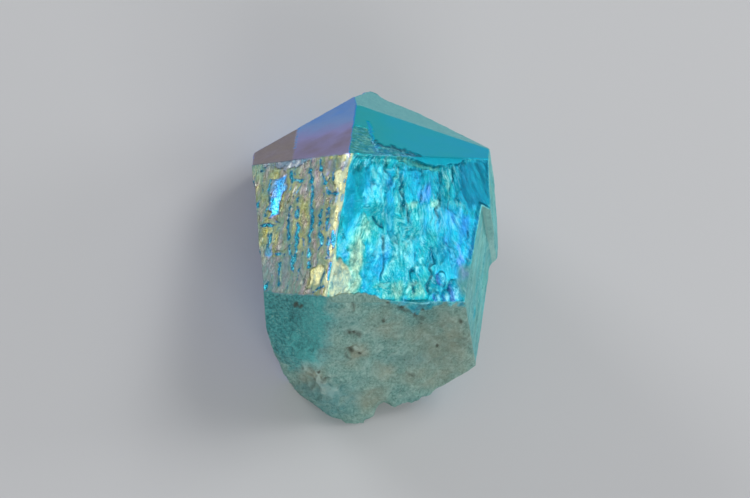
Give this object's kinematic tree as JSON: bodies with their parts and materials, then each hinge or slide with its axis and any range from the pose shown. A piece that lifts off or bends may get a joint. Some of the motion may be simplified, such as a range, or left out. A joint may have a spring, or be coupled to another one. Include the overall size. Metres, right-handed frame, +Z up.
{
  "type": "blue aura quartz point",
  "caption": "A short, stout quartz point with an iridescent blue metal-vapour film, lying on one prism face, its broken end bare and dull.",
  "frame": {"origin": "Under the middle of the stone's box, on the surface that the stone lies on.", "axes": "+Z up. +Y along the crystal's long axis, from the broken end towards the tip. +X to the right when the stone is seen from its broken end."},
  "size_m": [0.0464, 0.0612, 0.0348],
  "materials": {
    "aura_quartz": "Quartz under a thin iridescent metal film: smooth and glossy on the tip faces, etched and glinting in cyan, blue, gold and violet on the prism faces, dull grey-green on the broken end."
  },
  "bodies": {
    "root": {"quartz_crystal": "aura_quartz"}
  },
  "joints": []
}
